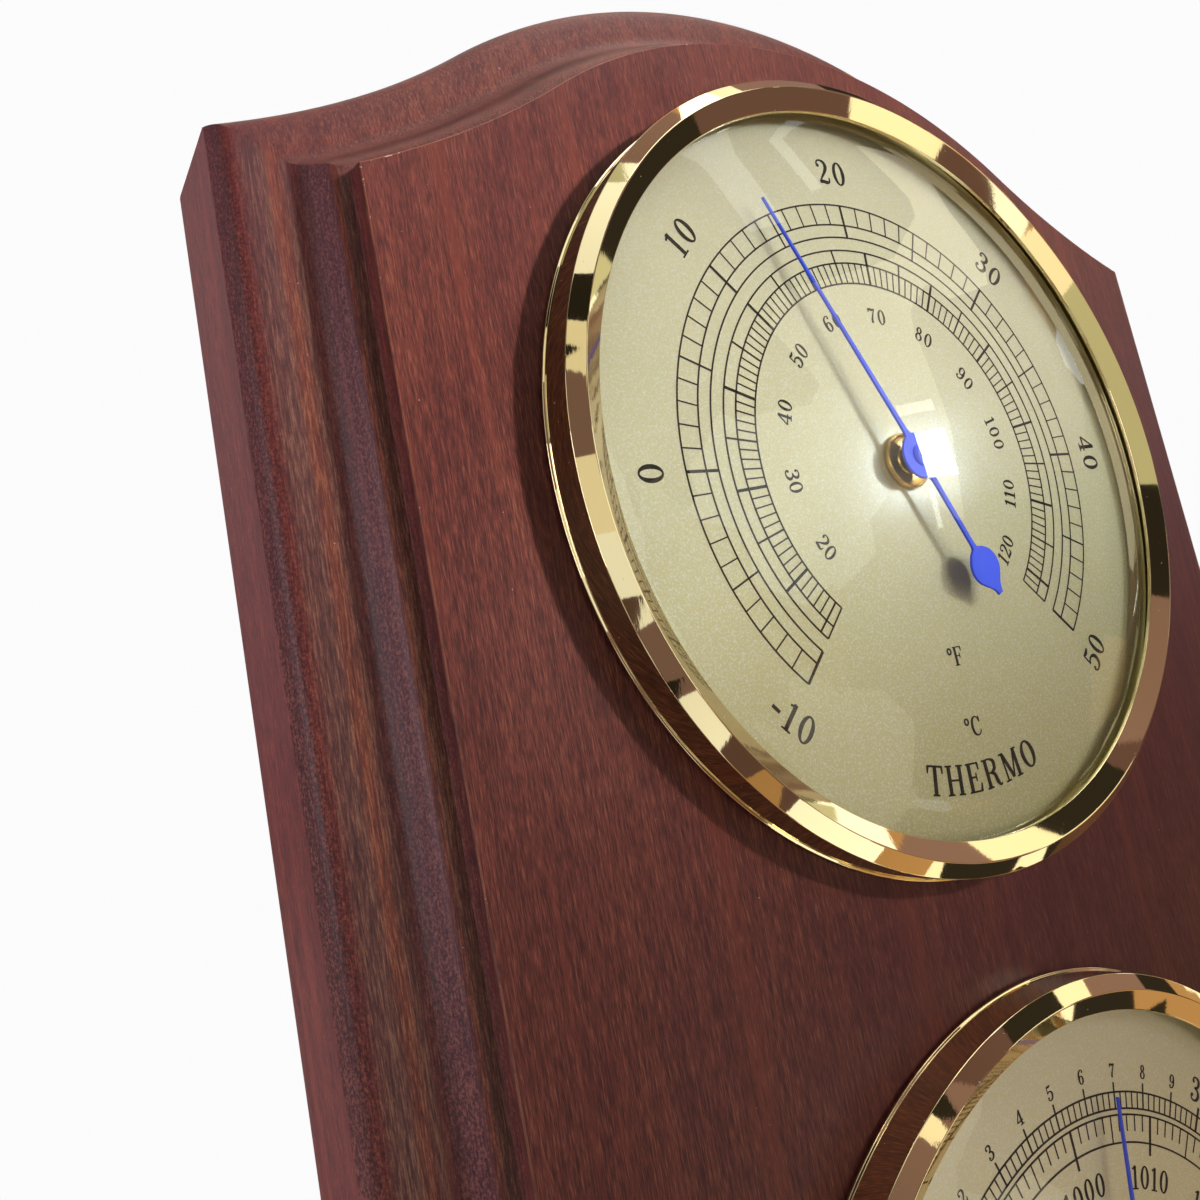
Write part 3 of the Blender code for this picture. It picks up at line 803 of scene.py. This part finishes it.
ARMS = [
    line((4, 98, 4), (66, 98, 4)), line((19, 51, 4.5), (50, 51, 4.5)),
    line((64, 99, 8), (67, 74, 3)), line((50, 37, 3.5), (50, 65, 3.5)),
]
GLYPHS = {
    "0": (74, [ring(37, 50, 31, 50, 13.5, 4.5)]),
    "1": (56, [line((29, 1, 13), (29, 98, 13)), foot(29, 20), curve((29, 98.5, 3), (22, 90, 6), (9, 85, 5))]),
    "2": (70, [dot(16, 76, 7.5),
        curve((10, 78, 4), (16, 93, 5), (33, 98, 5), (51, 90, 11), (56, 73, 14), (46, 52, 11), (25, 28, 6),
              (8, 6, 4.5)), curve((8, 5, 7), (24, 8.5, 12), (44, 5.5, 12), (57, 9, 6), (61, 26, 3.5))]),
    "3": (68, [dot(15, 79, 7), dot(14, 22, 7.5),
        curve((9, 80, 4), (16, 94, 5), (32, 98, 5), (49, 90, 11), (53, 75, 13), (45, 60, 9), (26, 53, 4)),
        curve((26, 53, 4), (47, 48, 8), (58, 28, 14), (49, 9, 11), (30, 2, 5), (14, 6, 5), (7, 21, 4))]),
    "4": (70, [line((49, 98, 5), (5, 29, 5)), foot(50, 18), line((3, 28, 5.5), (67, 28, 5.5)),
        line((50, 2, 13), (50, 99, 13))]),
    "5": (68, [dot(14, 21, 7.5), curve((13, 95.5, 7), (32, 92, 13), (53, 98, 4)),
        line((13, 97, 4), (11, 50, 4)),
        curve((11, 50, 4), (21, 58, 5), (35, 61, 6), (54, 50, 12), (59, 31, 14), (49, 9, 11), (30, 2, 5),
              (14, 6, 5), (7, 20, 4))]),
    "6": (72, [dot(55, 83, 7), ring(36, 31, 28, 31, 13, 4.5),
        curve((60, 86, 4), (54, 95, 4.5), (40, 98, 5), (20, 85, 10), (13, 60, 13), (14, 34, 13))]),
    "7": (68, [line((9, 98, 4), (9, 74, 4)), curve((9, 88, 8), (22, 93, 13), (40, 89, 12), (62, 96, 5)),
        curve((61, 95, 4.5), (45, 62, 7), (33, 30, 12), (31, 4, 15))]),
    "8": (70, [ring(35, 75.5, 22.5, 24.5, 11, 5), ring(35, 27.5, 28.5, 27.5, 12.5, 4.5)]),
    "-": (50, [line((6, 36, 10), (42, 36, 10))]),
    "o": (46, [ring(20, 80, 19, 20, 7.5, 7)]),
    "%": (102, [ring(22, 76, 18, 24, 10, 4), ring(78, 24, 18, 24, 10, 4), line((80, 99, 5), (20, 1, 5))]),
    "A": (90, [line((43, 97, 5), (12, 2, 5)), line((43, 99, 13), (75, 2, 14)), line((21, 33, 5), (65, 33, 5)),
        foot(13, 13), foot(74)]),
    "B": (84, [stem(19), foot(14, 12), foot(14, 12, 98.2),
        curve((19, 98, 4), (42, 97.5, 5), (59, 88, 11), (61, 74, 13), (57, 62, 10), (40, 53.5, 5),
              (19, 53, 4)),
        curve((19, 53, 4), (46, 52, 5), (66, 41, 12), (69, 27, 14), (65, 13, 12), (46, 2.5, 5), (19, 2, 4))]),
    "C": (86, [
        curve((70, 72, 5), (62, 90, 6), (45, 98, 5), (22, 87, 11), (12, 50, 15), (22, 13, 11), (45, 2, 5),
              (64, 10, 5), (74, 28, 4)), line((72, 98, 4), (72, 68, 5))]),
    "E": (80, [stem(19), *ARMS, line((4, 2, 4), (68, 2, 4)), line((66, 1, 9), (72, 29, 3))]),
    "F": (76, [stem(19), *ARMS, foot(19, 17)]),
    "G": (92, [
        curve((72, 74, 5), (63, 91, 6), (46, 98, 5), (22, 87, 11), (12, 50, 15), (22, 13, 11), (46, 2, 5),
              (64, 7, 8), (72, 16, 10)), line((74, 98, 4), (74, 70, 5)), line((74, 5, 12), (74, 42, 12)),
        foot(74, 16, 43)]),
    "H": (94, [stem(19), stem(73), line((19, 50, 5), (73, 50, 5)), foot(19), foot(73), foot(19, 16, 98.2),
        foot(73, 16, 98.2)]),
    "M": (106, [line((17, 2, 5), (17, 98, 5)), stem(86), foot(17, 14), foot(86),
        line((19, 98, 14), (52, 6, 12)), line((52, 5, 5), (84, 98, 5)), foot(13, 11, 98.2),
        foot(90, 12, 98.2)]),
    "O": (90, [ring(44, 50, 38, 50, 15, 4.5)]),
    "P": (78, [stem(19), foot(19), foot(14, 12, 98.2),
        curve((19, 98, 4), (44, 97, 5), (62, 87, 12), (64, 72, 13), (60, 57, 11), (42, 47.5, 5),
              (19, 47, 4))]),
    "R": (90, [stem(19), foot(19), foot(14, 12, 98.2),
        curve((19, 98, 4), (44, 97.5, 5), (62, 88, 12), (64, 74, 13), (60, 61, 11), (42, 51.5, 5),
              (19, 51, 4)), curve((40, 50, 6), (56, 43, 11), (65, 16, 13), (75, 2, 6), (85, 7, 3))]),
    "T": (80, [stem(40), foot(40), line((5, 97.5, 5), (75, 97.5, 5)), line((7, 99, 8), (4, 74, 3)),
        line((73, 99, 8), (76, 74, 3))]),
    "Y": (88, [line((12, 97, 14), (44, 44, 13)), line((77, 97, 5), (45, 45, 5)),
        line((44, 2, 14), (44, 50, 14)), foot(44), foot(14, 15, 98.2), foot(76, 13, 98.2)]),
    "a": (60, [curve((10, 50, 6), (20, 62, 5), (34, 60, 11), (40, 42, 13), (40, 8, 12), (53, 3, 4)),
        curve((40, 38, 4), (18, 27, 9), (11, 13, 12), (21, 2, 6), (40, 12, 4))]),
    "h": (70, [stem(17, 12), foot(17, 13), foot(50, 13),
        curve((17, 44, 4), (28, 61, 6), (42, 60, 11), (49, 42, 12), (49, 1, 12))]),
}


def half_turned(width, strokes):
    """The strokes turned upside down, which makes a nine of a six."""
    out = []
    for form, points in strokes:
        if form in ("ring", "dot"):
            u, v, *sizes = points
            out.append((form, (width - u, 100 - v, *sizes)))
        else:
            out.append((form, [(width - u, 100 - v, thick) for u, v, thick in points]))
    return width, out


GLYPHS["9"] = half_turned(*GLYPHS["6"])


class Print:
    """Ink on one dial: thin closed slabs just above the metal, all in one mesh."""

    def __init__(self, kind):
        self.kind = kind
        self.turn = PRINT_TURN[kind]
        self.low = -PANEL_T - DIAL_TOP - PRINT_GAP
        self.high = self.low - PRINT_THICK
        self.verts = []
        self.faces = []

    def strip(self, left, right, closed=False):
        """A slab between two rows of (x, z) points about the dial's centre."""
        z0 = CENTRE[self.kind]
        count = len(left)
        start = len(self.verts)
        for row, y in ((left, self.low), (left, self.high), (right, self.high), (right, self.low)):
            self.verts += [(x, y, z + z0) for x, z in turned_by(row, self.turn)]
        rows = [start + k * count for k in range(4)]
        for i in range(count if closed else count - 1):
            n = (i + 1) % count
            for a, b in zip(rows, rows[1:] + rows[:1]):
                self.faces.append([a + i, a + n, b + n, b + i])
        if not closed:
            self.faces += [rows, [row + count - 1 for row in reversed(rows)]]

    def arcs(self, radii, start, end):
        steps = round((end - start) / 1.5)
        angles = [math.radians(start + (end - start) * k / steps) for k in range(steps + 1)]
        for radius in radii:
            outer, inner = ([(r * math.sin(a), r * math.cos(a)) for a in angles]
                            for r in (radius + LINE / 2, radius - LINE / 2))
            self.strip(outer, inner)

    def tick(self, angle, inner, outer, width):
        a = math.radians(angle)
        s, c = math.sin(a), math.cos(a)
        left, right = ([(r * s + h * c, r * c - h * s) for r in (inner, outer)]
                       for h in (-width / 2, width / 2))
        self.strip(left, right)

    def ticks(self, values, angle_of, base, short, long):
        """Ticks at whole values from one circle to another, stronger at every fifth and tenth."""
        for value in values:
            fifth = value % 5 == 0
            width = BOLD if value % 10 == 0 else (FIFTH if fifth else FINE)
            self.tick(angle_of(value), long if fifth else short, base, width)

    def stroke(self, place, form, points):
        if form == "dot":
            u, v, radius = points
            angles = [math.pi * (k + 0.15) / 8.3 for k in range(9)]
            left, right = ([place(u + radius * math.cos(a), v + side * radius * math.sin(a)) for a in angles]
                           for side in (1, -1))
        elif form == "ring":
            u, v, half_width, half_height, side, top = points
            angles = [2 * math.pi * k / 40 for k in range(40)]
            left, right = ([place(u + w * math.sin(a), v + h * math.cos(a)) for a in angles]
                           for w, h in ((half_width, half_height),
                                        (half_width - side - INK_SPREAD, half_height - top - INK_SPREAD)))
        else:
            path = catmull(points, 6) if form == "curve" else points
            left, right = [], []
            for i, (u, v, thick) in enumerate(path):
                a, b = path[max(i - 1, 0)], path[min(i + 1, len(path) - 1)]
                du, dv = b[0] - a[0], b[1] - a[1]
                half = (thick + INK_SPREAD) / 2 / (math.hypot(du, dv) or 1.0)
                left.append(place(u - dv * half, v + du * half))
                right.append(place(u + dv * half, v - du * half))
        self.strip(left, right, form == "ring")

    def text(self, words, radius, angle, height, inwards=False, spacing=0, level=False):
        """Words centred at an angle; radius is where the baseline runs.

        inwards turns the tops towards the centre; level sets them on a straight line."""
        unit = height / 100
        sign = -1 if inwards else 1
        sizes = [GLYPHS[char][0] for char in words]
        start = -(sum(sizes) + spacing * (len(words) - 1)) / 2
        for char, size in zip(words, sizes):
            middle = (start + size / 2) * unit
            a = math.radians(angle) + (0 if level else sign * middle / radius)
            s, c = math.sin(a), math.cos(a)
            shift = middle if level else 0.0

            def place(u, v, s=s, c=c, size=size, shift=shift):
                across = sign * ((u - size / 2) * unit + shift)
                r = radius + sign * v * unit
                return (r * s + across * c, r * c - across * s)
            for form, points in GLYPHS[char][1]:
                self.stroke(place, form, points)
            start += size + spacing

    def numbers(self, values, angle_of, radius, low_radius, height, spacing):
        """Numbers round the dial; in its lower half their tops point to the centre."""
        for value in values:
            angle = angle_of(value)
            low = abs(angle) > 90
            self.text(str(value), low_radius if low else radius, angle, height, low, spacing)

    def finish(self, name):
        """The instrument's name at the foot of the dial, and all the ink as one piece."""
        self.text(name, NAME_R, 180, NAME_HEIGHT, inwards=True, spacing=16)
        ink_layer = as_object(self.kind + "_print", bmesh_from(self.verts, self.faces), [INK])
        settle(ink_layer, "plaque")


RING = 29.4             # outer line of the Celsius scale
SWEEP = 135.0           # a scale's half angle
FINE, LINE, FIFTH, BOLD = 0.15, 0.18, 0.20, 0.30
LARGE_NUMBERS = (31.95, 34.8, 2.85, 10)     # radius, radius in the lower half, height, spacing
NAME_R, NAME_HEIGHT = 34.65, 2.9


def print_thermometer():
    p = Print("thermo")
    rings = [RING * k for k in (1.0, 0.9198, 0.8697, 0.8178, 0.7678, 0.6879)]

    def celsius(degree):
        return (degree - 20) * 4.5

    def fahrenheit(degree):
        return (degree - 68) * 2.5

    p.arcs(rings, -SWEEP, SWEEP)
    p.ticks(range(-10, 51), celsius, rings[0], rings[1], rings[2])
    p.ticks(range(15, 122), fahrenheit, rings[5], rings[4], rings[3])
    for angle in (-SWEEP, SWEEP):
        p.tick(angle, rings[5], rings[3], LINE)
    p.numbers(range(-10, 51, 10), celsius, *LARGE_NUMBERS)
    p.numbers(range(20, 121, 10), fahrenheit, 15.65, 17.45, 1.78, 6)
    p.text("oF", 21.95, 180, 1.92, inwards=True, level=True)
    p.text("oC", 29.25, 180, 1.95, inwards=True, level=True)
    p.finish("THERMO")


def print_barometer():
    """Inches of mercury outside, with a digit at every tenth, and hectopascals inside."""
    p = Print("baro")
    outer, inner, second, floor = (RING * k for k in (1.056, 1.004, 0.985, 0.90))
    first, last = -128.5, 115.6

    degrees_per_inch, inches_per_hectopascal = 87.0, 0.02953

    def inch(value):
        return (value - 1000 * inches_per_hectopascal) * degrees_per_inch

    def hectopascal(value):
        return inch(value * inches_per_hectopascal)

    p.arcs((outer, inner, second, floor), first, last)
    for fiftieth in range(28 * 50, 31 * 50):
        inches = fiftieth / 50
        angle = inch(inches)
        if not first <= angle <= last:
            continue
        tenth, whole = fiftieth % 5 == 0, fiftieth % 50 == 0
        width = BOLD if whole else (FIFTH if tenth else FINE)
        p.tick(angle, inner, outer + (0.9 if tenth else 0.0), width)
        if tenth:
            digits = str(fiftieth // 50) if whole else str(fiftieth // 5 % 10)
            low = abs(angle) > 90
            height = 2.4 if whole else 1.35
            p.text(digits, RING * 1.10 + (height if low else 0.0), angle, height, low)
    pressures = [value for value in range(950, 1046) if first <= hectopascal(value) <= last]
    for value in pressures:
        tenth = value % 10 == 0
        reach = floor - 1.1 if tenth else (floor if value % 5 == 0 else floor + 1.0)
        p.tick(hectopascal(value), reach, second, BOLD if tenth else FINE)
    p.numbers([value for value in pressures if value % 10 == 0], hectopascal, 22.3, 24.6, 2.1, 6)
    p.text("hPa", 18.6, 180, 2.0, inwards=True, level=True)
    p.finish("BARO")


def print_hygrometer():
    p = Print("hygro")
    outer, middle, inner = RING, RING * 0.9198, RING * 0.8697

    def percent(value):
        return (value - 50) * 2.7

    p.arcs((outer, middle, inner), -SWEEP, SWEEP)
    p.ticks(range(101), percent, outer, middle, inner)
    p.numbers(range(0, 101, 10), percent, *LARGE_NUMBERS)
    p.text("%", 25.2, 180, 2.6, inwards=True, level=True)
    p.finish("HYGRO")


# --- cases ---
def make_case(kind):
    """Drawn steel can with a rolled corner, stamped floor rings and its through holes."""
    z0 = CENTRE[kind]
    floor, wall = CASE_FLOOR, 0.8
    inner = CASE_R - wall
    top = floor + wall
    outline = [
        (0, floor), (6.0, floor), (6.4, floor + 0.35), (14.0, floor + 0.35), (14.4, floor),
        (CASE_R - 3.2, floor), (CASE_R - 2.6, floor + 0.3), (CASE_R - 1.0, floor + 0.3),
        (CASE_R, floor + 1.3), (CASE_R, 0.3), (DIAL_R, 0.3), (DIAL_R, 1.1), (inner, 1.1),
        (inner, top + 0.6), (inner - 0.6, top), (2.6, top), (2.2, top + 3.0), (1.0, top + 3.0),
        (1.0, top + 0.2), (0, top + 0.2),
    ]
    case = as_object(kind + "_can", lathe(rounded(outline, 0.25, 3), 144, z=z0), [ZINC], 35.0)
    vents, vent_r = {"thermo": (4, 2.0), "hygro": (6, 3.0), "baro": (0, 0.0)}[kind]
    holes = []
    for k in range(vents):
        a = 2 * math.pi * (k + 0.35) / vents
        holes.append((vent_r, 24.0 * math.sin(a), 24.0 * math.cos(a)))
    if kind == "baro":
        holes.append((2.4, 18.0, 0.0))
    carve(case, [drill(r, floor - 1, top + 1, 48, ZINC, x, z0 + z) for r, x, z in holes], 35.0)
    settle(case, "plaque", [kind + "_case"])


def dress_inner_parts():
    """Materials for the CAD nodes that stay: the movements behind the dials."""
    looks = dict.fromkeys(
        ("collet", "post", "capsule_base", "capsule_top", "stand", "drum", "adjuster"), BRASS)
    looks["rocker"] = STEEL
    for name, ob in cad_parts.items():
        kind, _, part = name.partition("_")
        looks["coil"] = BIMETAL if kind == "thermo" else FIBRE
        if part in looks:
            ob.data.materials.clear()
            ob.data.materials.append(looks[part])


# --- stage ---
BACKDROP = (0.97, 0.97, 0.97)


def area_light(name, place, aim, size, power, colour):
    data = bpy.data.lights.new(name, "AREA")
    data.shape = "RECTANGLE"
    data.size, data.size_y = size
    data.energy = power
    data.color = colour
    ob = bpy.data.objects.new(name, data)
    ob.location = place
    ob.rotation_mode = "QUATERNION"
    ob.rotation_quaternion = (Vector(place) - Vector(aim)).to_track_quat("Z", "Y")
    bpy.context.scene.collection.objects.link(ob)
    return ob


def seen_from(centre, azimuth, elevation, distance):
    """A place at a compass angle from straight in front (towards +X) and a height angle."""
    a, e = math.radians(azimuth), math.radians(elevation)
    toward = Vector((math.sin(a) * math.cos(e), -math.cos(a) * math.cos(e), math.sin(e)))
    return Vector(centre) + distance * toward


def room_light(world):
    """What the polished parts mirror: a room of dark and light patches, brighter on the right.

    Matt surfaces get little of it, so that the lights shape them, and the backdrop is plain."""
    n = Nodes(world, "Generated")
    cells = n.new("TexVoronoi", {"Vector": n.coords, "Scale": 3.1, "Randomness": 1.0},
                  distance="CHEBYCHEV").outputs["Color"]
    pick = n.new("SeparateColor", {"Color": cells}).outputs["Red"]
    walls = n.ramp(
        pick, (0.0, (0.020, 0.016, 0.012)), (0.22, (0.36, 0.20, 0.09)), (0.33, (0.46, 0.44, 0.30)),
        (0.50, (1.0, 0.99, 0.95)), (0.70, (0.10, 0.055, 0.05)), (0.80, (0.20, 0.12, 0.11)),
        (0.88, (0.90, 0.80, 0.62)), stepped=True,
    )
    path = n.new("LightPath").outputs
    side = n.span(n.axis("X"), 0.85, 1.45, -0.45, 0.5)
    level = n.math("MULTIPLY", side, n.span(path["Is Diffuse Ray"], 1.0, 0.16))
    room = n.new("Background", {"Color": walls, "Strength": level})
    n.show_mix(path["Is Camera Ray"], room, n.new("Background", {"Color": BACKDROP}))


def make_floor():
    """A pale floor that fades to the white of the backdrop far away."""
    bm = bmesh.new()
    bmesh.ops.create_grid(bm, x_segments=8, y_segments=8, size=60.0)
    mesh = bpy.data.meshes.new("floor")
    bm.to_mesh(mesh)
    bm.free()
    floor = bpy.data.objects.new("floor", mesh)
    floor.location = (0, 0, cad_low.z - 0.0005)
    bpy.context.scene.collection.objects.link(floor)
    n = material("pale_floor")
    n.set(Base_Color=n.ramp(n.noise((30, 30, 30)), (0.3, 0.76), (0.7, 0.80)), Roughness=0.75)
    x, y = n.axis("X"), n.axis("Y")
    beside = n.math("MAXIMUM", n.math("MULTIPLY", x, -1.0), n.math("MULTIPLY", x, 0.15))
    behind = n.math("MAXIMUM", y, n.math("MULTIPLY", y, -0.15))
    square = n.math("ADD", n.math("MULTIPLY", beside, beside), n.math("MULTIPLY", behind, behind))
    fade = n.span(n.math("SQRT", square), 0.0, 1.0, 0.14, 0.55)
    n.show_mix(fade, n.shader, n.new("Emission", {"Color": BACKDROP}))
    mesh.materials.append(n.owner)
    floor.visible_glossy = False    # the polished rims mirror the room instead


def make_stage():
    make_floor()
    world = bpy.data.worlds.new("studio")
    bpy.context.scene.world = world
    room_light(world)
    hub = (0, cad_low.y, CENTRE["thermo"] * MM)
    # name, (azimuth, elevation, distance), (width, height), watts, colour
    for name, place, size, power, colour in (
        ("window", (51.8, 11.2, 1.6), (0.125, 0.125), 1.3, (0.80, 0.90, 1.0)),
        ("window_rail", (51.0, 15.8, 1.6), (0.15, 0.03), 0.04, (0.85, 0.85, 1.0)),
        ("window_foot", (49.5, 6.0, 1.6), (0.02, 0.11), 0.03, (0.85, 0.95, 1.0)),
        ("pane_low", (43, 41, 1.6), (0.13, 0.26), 0.16, (0.93, 0.95, 1.0)),
        ("pane_high", (54.5, 42, 1.6), (0.05, 0.22), 0.05, (0.93, 0.97, 1.0)),
        ("top", (50, 62, 1.3), (0.8, 0.6), 3.2, (1.0, 0.97, 0.93)),
        ("left", (-85, 6, 1.4), (0.4, 0.8), 6.0, (0.94, 0.88, 1.0)),
        ("behind_left", (-150, 22, 1.2), (0.7, 0.9), 2.0, (0.94, 0.86, 1.0)),
        ("behind_right", (146, 36, 1.4), (0.9, 0.8), 3.0, (1.0, 0.88, 0.96)),
    ):
        area_light(name, seen_from(hub, *place), hub, size, power, colour)
    upper_left = (-0.045, -0.022, 0.115)
    key = area_light("key", seen_from(hub, 36, 14, 1.4), upper_left, (0.18, 0.18), 0.19, (1.0, 0.97, 0.95))
    key.data.spread = math.radians(6.5)
    key.visible_glossy = False      # it models the wood; the metal and glass mirror the window instead


def make_camera():
    """The photograph's viewpoint: very close, from the lower left, the camera rolled a little."""
    eye = Vector((-87.24, -93.63, 25.36)) * MM
    forward = Vector((0.52566, 0.83774, 0.14793)).normalized()
    roll = math.radians(10.84)
    level = forward.cross(Vector((0, 0, 1))).normalized()
    right = Matrix.Rotation(roll, 3, forward) @ level
    up = right.cross(forward)
    data = bpy.data.cameras.new("camera")
    data.sensor_width = 36.0
    data.lens = 30.61
    data.shift_x = 0.0212
    data.shift_y = -0.0067
    data.clip_start = 0.005
    camera = bpy.data.objects.new("camera", data)
    camera.rotation_mode = "QUATERNION"
    camera.location = eye
    camera.rotation_quaternion = Matrix((right, up, -forward)).transposed().to_quaternion()
    bpy.context.scene.collection.objects.link(camera)
    bpy.context.scene.camera = camera


bpy.context.scene.view_settings.view_transform = "Standard"
make_camera()
make_stage()
make_plaque()
make_hanger()
for kind in KINDS:
    make_bezel(kind)
    make_crystal(kind)
    make_dial(kind)
    make_bush(kind)
    make_hand(kind)
    make_case(kind)
print_thermometer()
print_barometer()
print_hygrometer()
dress_inner_parts()
